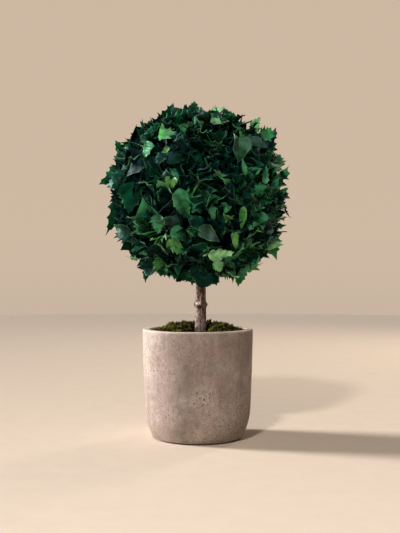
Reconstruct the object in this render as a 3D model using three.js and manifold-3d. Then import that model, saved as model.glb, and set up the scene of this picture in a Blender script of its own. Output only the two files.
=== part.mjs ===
// A potted ball topiary of preserved ivy: a bark-covered stem stands in a moss-topped concrete pot and carries a
// dense round head of toothed leaves on a ball core.
// Units are millimetres. +Z is up, and the origin is the middle of the pot's flat underside.

import * as THREE from "three";
import { mergeVertices } from "three/addons/utils/BufferGeometryUtils.js";
import Module from "manifold-3d";

const wasm = await Module();
wasm.setup();

// The gap left between two pieces that touch, and the finest detail that is kept where leaves are fused
const CLEAR = 0.3;
const FINEST = 0.03;

// Pot
const POT_HEIGHT = 162;
const POT_RIM_RADIUS = 82.4;
const POT_WAIST_RADIUS = 78.6;
const POT_BASE_RADIUS = 64;
const POT_CORNER_HEIGHT = 42;
const POT_CORNER_POWER = 1.5;
const POT_FOOT_ROUND = 1.6;
const POT_WALL = 11;
const POT_FLOOR = 14;
const POT_LIP_ROUND = 2.2;
const POT_TAPER_POWER = 1.6;
const POT_SIDES = 48;

// Planting fill and moss
const FILL_TOP = 146;
const MOSS_EDGE_TOP = 156;
const MOSS_CROWN_TOP = 168.5;
const MOSS_SIDES = 40;
const MOSS_RINGS = 9;
const MOSS_LUMP = 2.6;

// Stem
const STEM_BASE = new THREE.Vector2(3.6, 0);
const STEM_LEAN = 1.9;
const STEM_BOTTOM = FILL_TOP + CLEAR;
const STEM_TOP = 300;
const STEM_BASE_RADIUS = 8.3;
const STEM_TOP_RADIUS = 6.6;
const STEM_FLARE = 1.3;
const STEM_FLARE_HEIGHT = 12;
const STEM_SIDES = 14;
const STEM_RINGS = 34;
const STEM_GRAIN = 0.22;

// Knots on the stem: height, compass angle in degrees, how far each stands out, and its half height
const KNOTS = [
  { z: 199, angle: 168, out: 2.6, half: 5.5, spread: 0.55 },
  { z: 198, angle: 8, out: 2.4, half: 3.5, spread: 0.45 },
  { z: 197, angle: 255, out: 1.5, half: 5, spread: 0.7 },
  { z: 226, angle: 70, out: 1.6, half: 6, spread: 0.6 },
  { z: 176, angle: 120, out: 1.1, half: 5, spread: 0.6 },
];
// The long shallow scar of a cut side shoot, above the front knot
const SCAR = { z: 208, angle: 250, deep: 1.1, half: 11, spread: 0.42 };

// Leafy ball
const BALL_CENTRE = new THREE.Vector3(2.7, 0, 362.3);
const BALL_REACH = 139;
const BALL_SHOULDER = 12;
const CORE_RADIUS = 109;
const CORE_DETAIL = 2;
const SEED = 20121;

// Sprigs: each twig forks inside the core into three-sided stalks, and each stalk carries a leaf
const SPRIGS = 130;
const STALKS_PER_SPRIG = 3;
const FORK_DEPTH = 20;
const STALK_SPREAD = [10, 20];
const STALK_OUT = [1, 9];
const STALK_RADIUS = 1.5;

// Leaves
const LEAF_LENGTH = [36, 47];
const LEAF_WIDTH = [0.68, 0.86];
const LEAF_THICK = 1.8;
const LEAF_FOLD = [0.05, 0.4];
const LEAF_LIFT = [20, 60];
const LEAF_TRIES = 40;
const STEM_KEEP_OFF = 3;

// The furthest tips in the outline seen from the front: degrees round the ball from its right side, how far
// the tip reaches from the middle, and how many degrees round from the tip the leaf's foot lies
const LONG_LEAVES = [
  [174, 151, -15],
  [203, 154, -17],
  [238, 154, -10],
  [147, 151, 8],
  [106, 143, 10],
  [93, 141, 2],
  [75, 137, -12],
  [41, 151, -8],
  [18, 141, -12],
  [346, 141, 12],
  [320, 151, 14],
  [293, 149, 10],
  [271, 140, 9],
];

// A seeded stream of numbers from 0 to 1
function numbersFrom(seed) {
  let state = seed >>> 0;
  return () => {
    state = (state + 0x6d2b79f5) >>> 0;
    let t = state;
    t = Math.imul(t ^ (t >>> 15), t | 1);
    t ^= t + Math.imul(t ^ (t >>> 7), t | 61);
    return ((t ^ (t >>> 14)) >>> 0) / 4294967296;
  };
}

// Turns a closed three.js geometry into a solid for cutting and joining.
function solidOf(geometry) {
  const bare = geometry.clone();
  bare.deleteAttribute("normal");
  bare.deleteAttribute("uv");
  const merged = mergeVertices(bare, 1e-3);
  return new wasm.Manifold(
    new wasm.Mesh({
      numProp: 3,
      vertProperties: new Float32Array(merged.attributes.position.array),
      triVerts: new Uint32Array(merged.index.array),
    }),
  );
}

// Turns a solid back into a three.js geometry with flat faces.
function geometryOf(solid) {
  const mesh = solid.getMesh();
  const geometry = new THREE.BufferGeometry();
  geometry.setAttribute("position", new THREE.BufferAttribute(mesh.vertProperties, 3));
  geometry.setIndex(new THREE.BufferAttribute(mesh.triVerts, 1));
  const flat = geometry.toNonIndexed();
  flat.computeVertexNormals();
  return flat;
}

// Spins a profile of [radius, height] points about +Z.
function spun(points, sides) {
  const profile = points.map(([radius, z]) => new THREE.Vector2(radius, z));
  return new THREE.LatheGeometry(profile, sides).rotateX(Math.PI / 2);
}

// The pot's outer radius at a height: a rounded bottom corner, then a wall that opens slowly to the rim.
function potRadius(z) {
  if (z >= POT_CORNER_HEIGHT) {
    const below = (POT_HEIGHT - z) / (POT_HEIGHT - POT_CORNER_HEIGHT);
    return POT_RIM_RADIUS - (POT_RIM_RADIUS - POT_WAIST_RADIUS) * below ** POT_TAPER_POWER;
  }
  const down = (POT_CORNER_HEIGHT - z) / POT_CORNER_HEIGHT;
  const turn = (1 - down ** POT_CORNER_POWER) ** (1 / POT_CORNER_POWER);
  return POT_BASE_RADIUS + (POT_WAIST_RADIUS - POT_BASE_RADIUS) * turn;
}

// The pot's hollow, which follows the outer wall one wall thickness in.
function potHollowRadius(z) {
  return potRadius(Math.max(z - POT_FLOOR * 0.4, 0)) - POT_WALL;
}

// Points around a quarter turn of a rounded lip, from angle a to b in degrees.
function lipArc(radius, z, a, b, steps) {
  return Array.from({ length: steps + 1 }, (unused, i) => {
    const angle = THREE.MathUtils.degToRad(a + ((b - a) * i) / steps);
    return [radius + POT_LIP_ROUND * Math.cos(angle), z + POT_LIP_ROUND * Math.sin(angle)];
  });
}

function potGeometry() {
  const cornerSteps = 8;
  const corner = Array.from({ length: cornerSteps }, (unused, i) => {
    const turn = (Math.PI / 2) * (i / cornerSteps);
    return POT_FOOT_ROUND + (POT_CORNER_HEIGHT - POT_FOOT_ROUND) * (1 - Math.cos(turn));
  });
  const wall = [POT_CORNER_HEIGHT, 70, 105, 135];
  const lipZ = POT_HEIGHT - POT_LIP_ROUND;
  const innerTop = POT_RIM_RADIUS - POT_WALL;
  const inside = [130, 90, 50, 24, POT_FLOOR];
  return spun(
    [
      [0, 0],
      [POT_BASE_RADIUS - POT_FOOT_ROUND, 0],
      ...[...corner, ...wall].map((z) => [potRadius(z), z]),
      ...lipArc(POT_RIM_RADIUS - POT_LIP_ROUND, lipZ, 0, 90, 2),
      ...lipArc(innerTop + POT_LIP_ROUND, lipZ, 90, 180, 2),
      ...inside.map((z) => [potHollowRadius(z), z]),
      [0, POT_FLOOR],
    ],
    POT_SIDES,
  );
}

function fillGeometry() {
  const heights = [POT_FLOOR + CLEAR, 24, 50, 90, 130, FILL_TOP];
  return spun(
    [
      [0, heights[0]],
      ...heights.map((z) => [potHollowRadius(z) - CLEAR * 1.5, z]),
      [0, FILL_TOP],
    ],
    POT_SIDES,
  );
}

// The centre line of the stem at a height.
function stemCentre(z) {
  const share = (z - STEM_BOTTOM) / (STEM_TOP - STEM_BOTTOM);
  const bow = 0.5 * Math.sin(share * Math.PI * 2);
  return new THREE.Vector2(STEM_BASE.x + STEM_LEAN * share + bow, STEM_BASE.y + bow * 0.6);
}

// How near a point of the stem's skin is to a mark on it, from 0 to 1.
function nearMark(mark, z, angle) {
  const turn = THREE.MathUtils.degToRad(mark.angle);
  const around = Math.atan2(Math.sin(angle - turn), Math.cos(angle - turn)) / mark.spread;
  const along = (z - mark.z) / mark.half;
  return Math.exp(-(around * around + along * along));
}

function stemRadius(z, angle) {
  const share = (z - STEM_BOTTOM) / (STEM_TOP - STEM_BOTTOM);
  const plain = THREE.MathUtils.lerp(STEM_BASE_RADIUS, STEM_TOP_RADIUS, share);
  const flare = STEM_FLARE * Math.exp(-(z - STEM_BOTTOM) / STEM_FLARE_HEIGHT);
  const knots = KNOTS.reduce((sum, knot) => sum + knot.out * nearMark(knot, z, angle), 0);
  const scar = SCAR.deep * nearMark(SCAR, z, angle);
  const grain = STEM_GRAIN * Math.sin(5 * angle + z * 0.11) * Math.sin(z * 0.31 + angle);
  return plain + flare + knots - scar + grain;
}

// A tube of rings, grown by a given amount, from one height to another.
function stemGeometry(grown, bottom, top, sides, rings) {
  const places = [];
  const faces = [];
  for (let j = 0; j <= rings; j++) {
    const z = bottom + ((top - bottom) * j) / rings;
    const centre = stemCentre(z);
    for (let i = 0; i < sides; i++) {
      const angle = (2 * Math.PI * i) / sides;
      const radius = stemRadius(z, angle) + grown;
      places.push(centre.x + radius * Math.cos(angle), centre.y + radius * Math.sin(angle), z);
    }
  }
  for (let j = 0; j < rings; j++) {
    for (let i = 0; i < sides; i++) {
      const here = j * sides + i;
      const next = j * sides + ((i + 1) % sides);
      faces.push(here, next, next + sides, here, next + sides, here + sides);
    }
  }
  const last = rings * sides;
  for (let i = 1; i < sides - 1; i++) {
    faces.push(0, i + 1, i, last, last + i, last + i + 1);
  }
  const geometry = new THREE.BufferGeometry();
  geometry.setAttribute("position", new THREE.Float32BufferAttribute(places, 3));
  geometry.setIndex(faces);
  const flat = geometry.toNonIndexed();
  flat.computeVertexNormals();
  return flat;
}

// The height of the moss at a place: a low mound with lumps, lower against the pot's wall.
function mossTop(x, y) {
  const out = Math.hypot(x, y) / mossRadius();
  const mound = THREE.MathUtils.lerp(MOSS_CROWN_TOP, MOSS_EDGE_TOP, out ** 2.6);
  const broad = Math.sin(x * 0.13 + 1.1) * Math.cos(y * 0.15 - 0.4);
  const small = Math.sin(x * 0.37 + y * 0.21) * Math.cos(y * 0.41 - x * 0.17 + 2);
  return mound + MOSS_LUMP * (0.6 * broad + 0.7 * small) * (1 - 0.6 * out);
}

function mossRadius() {
  return POT_RIM_RADIUS - POT_WALL - CLEAR - 0.9;
}

function mossGeometry() {
  const places = [0, 0, mossTop(0, 0)];
  const faces = [];
  for (let j = 1; j <= MOSS_RINGS; j++) {
    const radius = (mossRadius() * j) / MOSS_RINGS;
    for (let i = 0; i < MOSS_SIDES; i++) {
      const angle = (2 * Math.PI * (i + 0.5 * (j % 2))) / MOSS_SIDES;
      const x = radius * Math.cos(angle);
      const y = radius * Math.sin(angle);
      places.push(x, y, mossTop(x, y));
    }
  }
  const ring = (j) => 1 + (j - 1) * MOSS_SIDES;
  for (let i = 0; i < MOSS_SIDES; i++) {
    faces.push(0, ring(1) + i, ring(1) + ((i + 1) % MOSS_SIDES));
    for (let j = 1; j < MOSS_RINGS; j++) {
      const next = (i + 1) % MOSS_SIDES;
      const [a, b] = [ring(j) + i, ring(j) + next];
      const [c, d] = [ring(j + 1) + i, ring(j + 1) + next];
      if (j % 2) faces.push(a, c, b, b, c, d);
      else faces.push(a, d, b, a, c, d);
    }
  }
  // The skirt goes down to the fill, and the underside is flat.
  const skirt = places.length / 3;
  const edge = ring(MOSS_RINGS);
  for (let i = 0; i < MOSS_SIDES; i++) {
    const at = 3 * (edge + i);
    places.push(places[at] * 0.985, places[at + 1] * 0.985, FILL_TOP + CLEAR);
  }
  const middle = places.length / 3;
  places.push(0, 0, FILL_TOP + CLEAR);
  for (let i = 0; i < MOSS_SIDES; i++) {
    const next = (i + 1) % MOSS_SIDES;
    faces.push(edge + i, skirt + i, edge + next, edge + next, skirt + i, skirt + next);
    faces.push(middle, skirt + next, skirt + i);
  }
  const geometry = new THREE.BufferGeometry();
  geometry.setAttribute("position", new THREE.Float32BufferAttribute(places, 3));
  geometry.setIndex(faces);
  const hole = stemGeometry(CLEAR, STEM_BOTTOM - 5, MOSS_CROWN_TOP + 20, STEM_SIDES, 16);
  return geometryOf(solidOf(geometry).subtract(solidOf(hole)));
}

// The direction of sprig k of n, spread evenly over the ball by the golden angle.
function sprigDirection(k, n) {
  const z = 1 - (2 * (k + 0.5)) / n;
  const turn = k * Math.PI * (3 - Math.sqrt(5));
  const flat = Math.sqrt(1 - z * z);
  return new THREE.Vector3(flat * Math.cos(turn), flat * Math.sin(turn), z);
}

// At a place on the ball: the way out of it, the way sideways, and the way down over it.
function ballAxes(out) {
  const side = new THREE.Vector3(-out.y, out.x, 0);
  if (side.lengthSq() < 1e-6) side.set(1, 0, 0);
  side.normalize();
  return { out, side, down: new THREE.Vector3().crossVectors(side, out).negate() };
}

// A solid from corners and the numbers of the corners of each face.
function solidFrom(corners, faces) {
  return new wasm.Manifold(
    new wasm.Mesh({
      numProp: 3,
      vertProperties: new Float32Array(corners.flatMap((p) => p.toArray())),
      triVerts: new Uint32Array(faces),
    }),
  );
}

// One leaf: its fork in the core, its foot, the way it points, the way its face looks, and its sizes.
function leafAt(sprig, turn, random) {
  const within = ([low, high]) => low + (high - low) * random();
  const spread = within(STALK_SPREAD) / CORE_RADIUS;
  const out = sprig.out
    .clone()
    .addScaledVector(sprig.down, spread * Math.cos(turn))
    .addScaledVector(sprig.side, spread * Math.sin(turn))
    .normalize();
  const axes = ballAxes(out);
  // Leaves droop below the middle of the ball and turn all ways above it.
  const droop = THREE.MathUtils.clamp(0.55 - 0.5 * out.z, 0.15, 1);
  const heading = turn * (1.02 - 0.6 * droop) + 0.7 * (random() - 0.5);
  const lift = THREE.MathUtils.degToRad(within(LEAF_LIFT));
  const towards = axes.down
    .clone()
    .multiplyScalar(Math.cos(heading) * Math.cos(lift))
    .addScaledVector(axes.side, Math.sin(heading) * Math.cos(lift))
    .addScaledVector(out, Math.sin(lift))
    .normalize();
  const face = out.clone().addScaledVector(towards, -out.dot(towards)).normalize();
  face.applyAxisAngle(towards, 1.2 * (random() - 0.5));
  const length = within(LEAF_LENGTH);
  return {
    fork: BALL_CENTRE.clone().addScaledVector(sprig.out, CORE_RADIUS - FORK_DEPTH),
    foot: BALL_CENTRE.clone().addScaledVector(out, CORE_RADIUS + within(STALK_OUT)),
    towards,
    face,
    length,
    width: length * within(LEAF_WIDTH),
    fold: within(LEAF_FOLD),
    curl: 0.14 * (random() - 0.2),
  };
}

// One leaf of the outline, whose tip lies in the plane across the ball that the front view shows.
function longLeafAt([degrees, reach, swing], random) {
  const within = ([low, high]) => low + (high - low) * random();
  const way = (angle) => {
    const turn = THREE.MathUtils.degToRad(angle);
    return new THREE.Vector3(Math.cos(turn), 0.1 * (random() - 0.5), Math.sin(turn)).normalize();
  };
  const out = way(degrees + swing);
  const foot = BALL_CENTRE.clone().addScaledVector(out, CORE_RADIUS + within(STALK_OUT));
  const tip = BALL_CENTRE.clone().addScaledVector(way(degrees), reach);
  const towards = tip.clone().sub(foot).normalize();
  const face = out.clone().addScaledVector(towards, -out.dot(towards)).normalize();
  face.applyAxisAngle(towards, 0.5 + 1.2 * random());
  const length = tip.distanceTo(foot);
  return {
    fork: BALL_CENTRE.clone().addScaledVector(out, CORE_RADIUS - FORK_DEPTH),
    foot,
    towards,
    face,
    length,
    width: LEAF_LENGTH[1] * LEAF_WIDTH[0],
    fold: within(LEAF_FOLD),
    curl: 0,
  };
}

// A leaf's rim from the foot to the tip, as shares of its length and half width
const LEAF_RIM = [
  [0.3, 0.94],
  [0.62, 0.72],
];

// The corners of a leaf and its stalk: three round the fork, three round the foot, the rim's two sides,
// the tip, and the top and bottom of the midrib.
function leafCorners(leaf) {
  const across = new THREE.Vector3().crossVectors(leaf.face, leaf.towards);
  const at = (x, y, z) =>
    leaf.foot
      .clone()
      .addScaledVector(leaf.towards, x)
      .addScaledVector(across, y)
      .addScaledVector(leaf.face, z);
  const stalk = leaf.foot.clone().sub(leaf.fork).normalize();
  const level = new THREE.Vector3().crossVectors(leaf.face, stalk).normalize();
  const below = new THREE.Vector3().crossVectors(level, stalk).normalize();
  const fork = [
    leaf.fork.clone().addScaledVector(level, -STALK_RADIUS),
    leaf.fork.clone().addScaledVector(level, STALK_RADIUS),
    leaf.fork.clone().addScaledVector(below, 1.7 * STALK_RADIUS),
  ];
  const foot = [at(0, -STALK_RADIUS, 0), at(0, STALK_RADIUS, 0), at(0, 0, -1.7 * STALK_RADIUS)];
  const side = (sign) =>
    LEAF_RIM.map(([x, y]) => {
      const half = (leaf.width / 2) * y;
      const bend = -leaf.curl * leaf.length * x * x;
      return at(leaf.length * x, sign * half, bend + leaf.fold * half);
    });
  const tip = at(leaf.length, 0, -leaf.curl * leaf.length);
  const middle = leaf.length * 0.45;
  const sag = -leaf.curl * leaf.length * 0.2;
  const midrib = [at(middle, 0, sag), at(middle, 0, sag - LEAF_THICK)];
  return [...fork, ...foot, ...side(-1), tip, ...side(1).reverse(), ...midrib];
}

function leafSolid(corners) {
  const [forkRight, forkLeft, forkBelow, right, left, below] = [0, 1, 2, 3, 4, 5];
  const rim = 2 * LEAF_RIM.length + 1;
  const top = 6 + rim;
  const bottom = top + 1;
  const faces = [forkRight, forkLeft, forkBelow];
  faces.push(right, left, forkLeft, right, forkLeft, forkRight);
  faces.push(left, below, forkBelow, left, forkBelow, forkLeft);
  faces.push(below, right, forkRight, below, forkRight, forkBelow);
  const loop = [right, ...Array.from({ length: rim }, (unused, i) => 6 + i), left];
  for (let i = 0; i + 1 < loop.length; i++) {
    faces.push(loop[i], loop[i + 1], top, loop[i + 1], loop[i], bottom);
  }
  faces.push(left, right, top, right, below, bottom, below, left, bottom);
  return solidFrom(corners, faces);
}

// How far leaves may reach: the ball is a little fuller at its shoulders than at its top, sides and foot.
function reachAt(p) {
  const latitude = Math.asin((p.z - BALL_CENTRE.z) / p.distanceTo(BALL_CENTRE));
  return BALL_REACH + BALL_SHOULDER * Math.sin(2 * latitude) ** 2;
}

// True if a leaf keeps inside the ball's reach and off the stem.
function leafFits(corners) {
  return corners.slice(3).every((p) => {
    if (p.distanceTo(BALL_CENTRE) > reachAt(p)) return false;
    const centre = stemCentre(p.z);
    return Math.hypot(p.x - centre.x, p.y - centre.y) > STEM_BASE_RADIUS + STEM_KEEP_OFF;
  });
}

// True if a leaf cuts through none of the leaves that are already there.
function leafIsFree(leaf, placed) {
  return placed.every((other) => {
    if (other.middle.distanceTo(leaf.middle) > LEAF_LENGTH[1]) return true;
    return other.blade.intersect(leaf.blade).isEmpty();
  });
}

// A leaf with its solid, the same solid cut short at the foot, and its middle, for finding its place.
function leafWithSolids(leaf) {
  const stub = leaf.foot.clone().addScaledVector(leaf.towards, -1);
  return {
    solid: leafSolid(leafCorners(leaf)),
    blade: leafSolid(leafCorners({ ...leaf, fork: stub })),
    middle: leaf.foot.clone().addScaledVector(leaf.towards, leaf.length / 2),
  };
}

// Every sprig's leaves with their stalks. A leaf that finds no free place after some tries is left out.
function sprigSolids() {
  const random = numbersFrom(SEED);
  const leaves = LONG_LEAVES.map((entry) => leafWithSolids(longLeafAt(entry, random)));
  for (let k = 0; k < SPRIGS; k++) {
    const sprig = ballAxes(sprigDirection(k, SPRIGS));
    const turned = 2 * Math.PI * random();
    for (let j = 0; j < STALKS_PER_SPRIG; j++) {
      for (let n = 0; n < LEAF_TRIES; n++) {
        const open = turned + (2 * Math.PI * j) / STALKS_PER_SPRIG + 0.8 * (random() - 0.5);
        const turn = Math.atan2(Math.sin(open), Math.cos(open));
        const record = leafAt(sprig, turn, random);
        if (!leafFits(leafCorners(record))) continue;
        const leaf = leafWithSolids(record);
        if (!leafIsFree(leaf, leaves)) continue;
        leaves.push(leaf);
        break;
      }
    }
  }
  return leaves.map((leaf) => leaf.solid);
}

// The outer skin of a solid, without the hollows sealed in it and any loose scraps.
function outerSkin(solid) {
  return solid.decompose().reduce((a, b) => (a.volume() > b.volume() ? a : b));
}

// The ball: a core with every sprig fused to it, and a socket for the stem.
function ballGeometry() {
  const core = new THREE.IcosahedronGeometry(CORE_RADIUS, CORE_DETAIL);
  core.translate(BALL_CENTRE.x, BALL_CENTRE.y, BALL_CENTRE.z);
  const bottom = BALL_CENTRE.z - BALL_REACH - 5;
  const socket = stemGeometry(CLEAR, bottom, STEM_TOP + CLEAR, STEM_SIDES, STEM_RINGS);
  const ball = wasm.Manifold.union([solidOf(core), ...sprigSolids()]);
  return geometryOf(outerSkin(ball.subtract(solidOf(socket)).simplify(FINEST)));
}

const CONCRETE = { color: 0xb3a08f, roughness: 0.9, metalness: 0 };
const SOIL = { color: 0x3a2c20, roughness: 1, metalness: 0 };
const MOSS = { color: 0x4c5a1c, roughness: 1, metalness: 0 };
const BARK = { color: 0x7a6458, roughness: 0.9, metalness: 0 };
const LEAF = { color: 0x1f4a28, roughness: 0.55, metalness: 0 };

function piece(name, geometry, look) {
  const mesh = new THREE.Mesh(geometry, new THREE.MeshStandardMaterial(look));
  mesh.name = name;
  return mesh;
}

const topiary = new THREE.Group();
topiary.add(
  piece("pot", potGeometry(), CONCRETE),
  piece("planting_fill", fillGeometry(), SOIL),
  piece("moss", mossGeometry(), MOSS),
  piece("trunk", stemGeometry(0, STEM_BOTTOM, STEM_TOP, STEM_SIDES, STEM_RINGS), BARK),
  piece("foliage_ball", ballGeometry(), LEAF),
);

export default topiary;
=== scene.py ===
"""Looks of a potted ball topiary of preserved ivy.

Sizes and places are millimetres, except where a name ends in _M or _m, which is metres.
"""

from math import asin, atan2, cos, exp, hypot, pi, radians, sin, sqrt

import bpy
import numpy as np
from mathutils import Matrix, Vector, noise


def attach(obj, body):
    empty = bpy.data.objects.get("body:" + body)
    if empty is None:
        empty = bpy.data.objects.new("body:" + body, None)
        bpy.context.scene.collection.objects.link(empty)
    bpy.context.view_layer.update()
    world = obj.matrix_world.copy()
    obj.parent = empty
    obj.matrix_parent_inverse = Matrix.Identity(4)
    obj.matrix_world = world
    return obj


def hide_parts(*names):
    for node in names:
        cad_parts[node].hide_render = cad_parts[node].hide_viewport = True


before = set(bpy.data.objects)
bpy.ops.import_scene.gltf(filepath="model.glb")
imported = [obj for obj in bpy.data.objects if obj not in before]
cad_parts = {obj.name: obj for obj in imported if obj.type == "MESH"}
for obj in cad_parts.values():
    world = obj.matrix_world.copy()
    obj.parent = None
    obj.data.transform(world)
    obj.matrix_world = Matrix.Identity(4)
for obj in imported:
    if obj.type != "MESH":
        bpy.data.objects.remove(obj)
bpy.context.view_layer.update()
scene = bpy.context.scene

MM = 0.001
UP = np.array([0.0, 0.0, 1.0])
# Heights and distances that colours follow are shares of this
LOOK_SPAN_M = 0.2

# Pot
POT_HEIGHT = 162
POT_RIM_RADIUS = 82.4
POT_WAIST_RADIUS = 78.6
POT_BASE_RADIUS = 64
POT_TAPER_POWER = 1.6
POT_CORNER_HEIGHT = 42
POT_CORNER_POWER = 1.5
POT_FOOT_INSET = 3.5
POT_FOOT_HEIGHT = 1.6
POT_FOOT_ROUND = 0.3
POT_FOOT_EDGE = 0.9
POT_FOOT_STEP = 0.5
POT_WALL = 11
POT_FLOOR = 14
POT_HOLLOW_RISE = POT_FLOOR * 0.4
POT_LIP_ROUND = 2.2
POT_SIDES = 380
POT_CORNER_RINGS = 24
POT_WALL_RINGS = 72
POT_LIP_RINGS = 6
POT_LIP_FLAT_RINGS = 5
POT_INNER_RINGS = 8
# Heights of rings under the planting fill, and the share of unevenness on the lip and inside
POT_HIDDEN_HEIGHTS = (90, 50, 24, POT_FLOOR)
POT_INNER_SHARE = 0.6

# Planting fill and moss
FILL_TOP = 146
MOSS_EDGE_TOP = 154
MOSS_CROWN_TOP = 167.4
MOSS_CROWN_POWER = 4
MOSS_RADIUS = POT_RIM_RADIUS - POT_WALL - 1.0
MOSS_SIDES = 220
MOSS_RINGS = 64
# The mound's last ring, which tufts keep inside
MOSS_TUCK_RADIUS = MOSS_RADIUS * 0.985
MOSS_TUCK_HEIGHT = FILL_TOP + 0.4
# The dip in front of the stem, the lower ground on the left, and the stretches where they set in
MOSS_DIP = 17
MOSS_DIP_WIDTH = 15
MOSS_DIP_FADE = (-2, 16)
MOSS_LOW_LEFT = 2
MOSS_LOW_FROM = (30, 66)
MOSS_TUFTS = 7500
MOSS_SEED = 4
# How dense clumps are where tufts begin, turn green and turn bright
TUFT_CLUMPS = (-0.05, 0.08, 0.24)
TUFT_STEM_GAP = 1.2
BLADE_FACES = ((0, 1, 3), (1, 2, 3), (2, 0, 3), (0, 2, 1))

# Stem
STEM_BASE_X = 3.6
STEM_LEAN = 1.9
STEM_BOW = 0.5
STEM_BOTTOM = FILL_TOP + 0.3
STEM_TOP = 300
STEM_AT_MOSS = 160
STEM_BASE_RADIUS = 8.3
STEM_TOP_RADIUS = 6.6
STEM_FLARE = 1.3
STEM_FLARE_HEIGHT = 12
STEM_SIDES = 72
STEM_RINGS = 230
# Marks on the stem: height, degrees round it, half how tall they are, their spread in radians and, except for
# dark patches of stain and painted shade, how far knots stand out or the scar sinks in
KNOTS = [
    (199, 168, 5.5, 0.55, 3.0),
    (198, 8, 3.5, 0.45, 2.6),
    (197, 255, 5, 0.7, 1.5),
    (226, 70, 6, 0.6, 1.6),
    (176, 120, 5, 0.6, 1.1),
]
SCAR = (207, 250, 12, 0.42, 1.3)
# Dark patches: the three just under knots and the scar are painted shade, and the tall one higher up is a
# stain
STAINS_AND_SHADE = [(197, 172, 4.5, 0.5), (196, 10, 3.5, 0.5), (195, 250, 3.0, 0.7), (222, 300, 12, 0.35)]
# The slanting wedge of bare wood by the scar
WOOD_BOTTOM = 198.5
WOOD_HEIGHT = 17
WOOD_DEGREES = 230
WOOD_SLANT_DEGREES = 48
WOOD_SINK = 0.5

# Leafy ball
BALL = np.array([2.7, 0.0, 362.3])
BALL_REACH = 139
BALL_SHOULDER = 12
BALL_FACE = 129
BALL_LUMPS = 9
BALL_CREVICE = 15
# How much fuller the ball is low on the left, and the way there
BALL_SWAY = 5
BALL_SWAY_WAY = np.array([-0.5, 0.0, -0.87])
CORE_RADIUS = 95
CORE_FACE = CORE_RADIUS - 3
CORE_SIDES = 96
CORE_RINGS = 48
STALK_SPREAD = (8, 20)
STALK_REACH = 105
STALK_RADIUS = 0.55
FORK_DEPTH = 14
STEM_KEEP_OFF = 2.5
LOWEST_LEAF = 215

# Leaves
LEAF_SEED = 7
SHAPE_SEED = 5
TONE_SEED = 6
GOLDEN_ANGLE = pi * (3 - sqrt(5))
LEAF_THICK = 0.55
CREASE = 0.13
RIM_FROM = 0.84
LEAST_BEND = 0.02
# Shares of leaves that have pale margins, which are painted rim highlight, and of leaves with their sprig's
# own tone
RIMMED_SHARE = 0.5
SAME_TONE_SHARE = 0.5
LEAVES_PER_SPRIG = 3
TRIES = 9
YOUNG_SIZE = 0.56
INNER_FEET = (94, 102)
# Degrees that leaves rise from the ball's face, the share of it that tips reach, and how leaves turn over
LEAF_LIFTS = {"inner": (2, 24), "flat": (6, 34), "upright": (38, 84)}
LEAF_TIPS = {"flat": (0.86, 0.98), "upright": (0.9, 1.11)}
INNER_TURN = 0.25
OUTER_TURN = 0.55
MARKED_TURN = 0.22
# Share of a marked leaf's length that other leaves keep off its middle
MARKED_ROOM = 0.52
SHAPES_PER_KIND = 6
# Kinds of leaf: spines or teeth on each side, where the first and last of them are, how deep the margin is
# hollowed between them, and the share of leaves
KINDS = {
    "smooth": (0, 0.0, 0.0, 0.0, 0.34),
    "toothed": (5, 0.2, 0.82, 0.12, 0.24),
    "spiny": (3, 0.22, 0.72, 0.22, 0.26),
    "lobed": (2, 0.14, 0.46, 0.34, 0.16),
}
# Layers of leaves: sprigs round the ball, points down each side of a leaf, and the grid's columns across it
LAYERS = {
    "outer": (380, 15, (-1.0, -0.88, -0.5, 0.0, 0.5, 0.88, 1.0)),
    "inner": (190, 6, (-1.0, 0.0, 1.0)),
    "young": (320, 9, (-1.0, -0.84, 0.0, 0.84, 1.0)),
}
# The spans that folds and bends are drawn from, and how far leaves twist
HABIT_PARTS = ("fold", "cup", "ruffle", "phase", "waves", "rim", "bend")
PHASES = (0, 6.28)
HABITS = {
    "grown": ((0.0, 0.85), (-1.0, 0.6), (0.15, 0.6), PHASES, (5, 10), (-0.5, 2.0), (-0.9, 1.8)),
    "marked": ((0.15, 0.6), (-0.5, 0.3), (0.12, 0.34), PHASES, (6, 10), (0.0, 2.0), (0.2, 1.3)),
    "tip": ((0.1, 0.5), (-0.3, 0.1), (0.08, 0.25), PHASES, (6, 10), (0.0, 2.0)),
}
TWISTS = {"grown": 0.55, "marked": 0.3, "tip": 0.3}

# Tones of the leaves: sRGB colour, roughness, and the share of sprigs that have it
TONES = {
    "shade": ((5, 35, 32), 0.42, 0.16),
    "deep": ((5, 45, 35), 0.42, 0.23),
    "forest": ((8, 63, 44), 0.42, 0.23),
    "mid": ((58, 114, 80), 0.4, 0.14),
    "bright": ((106, 160, 116), 0.38, 0.06),
    # Painted light: a paler tone for leaves low on the right in front
    "sunlit": ((134, 196, 142), 0.38, 0.0),
    "lime": ((90, 142, 84), 0.42, 0.06),
    "grey": ((58, 88, 74), 0.46, 0.07),
    "slate": ((26, 54, 50), 0.5, 0.05),
    "plum": ((22, 38, 42), 0.5, 0.01),
}
# Painted shade: a dark tone and roughness for the inner leaves deep in the ball
INNER_SHADE_TONE = ((2, 34, 36), 0.7)
TIP_TONES = ("deep", "forest", "mid")
SPINY_TIP_SHARE = 0.6
# Tones dealt as painted light, commoner low on the right in front, and tones dealt as painted shade, commoner
# high on the left
SUNNY_TONES = ("mid", "bright", "sunlit", "lime")
SUNNY_WAY = np.array([0.85, -0.2, -0.28])
SHADY_TONES = ("shade", "deep")
SHADY_WAY = np.array([-0.7, 0.0, 0.3])
# What the other parts of a leaf lean towards, and how far: a paler underside, and a pale margin strip and
# edge that are painted rim highlight
UNDERSIDE = (56, 90, 78)
RIM_HIGHLIGHT = (124, 168, 122)
LEAF_PARTS = {"under": (UNDERSIDE, 0.3), "margin": (RIM_HIGHLIGHT, 0.44), "edge": (RIM_HIGHLIGHT, 0.72)}
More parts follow.
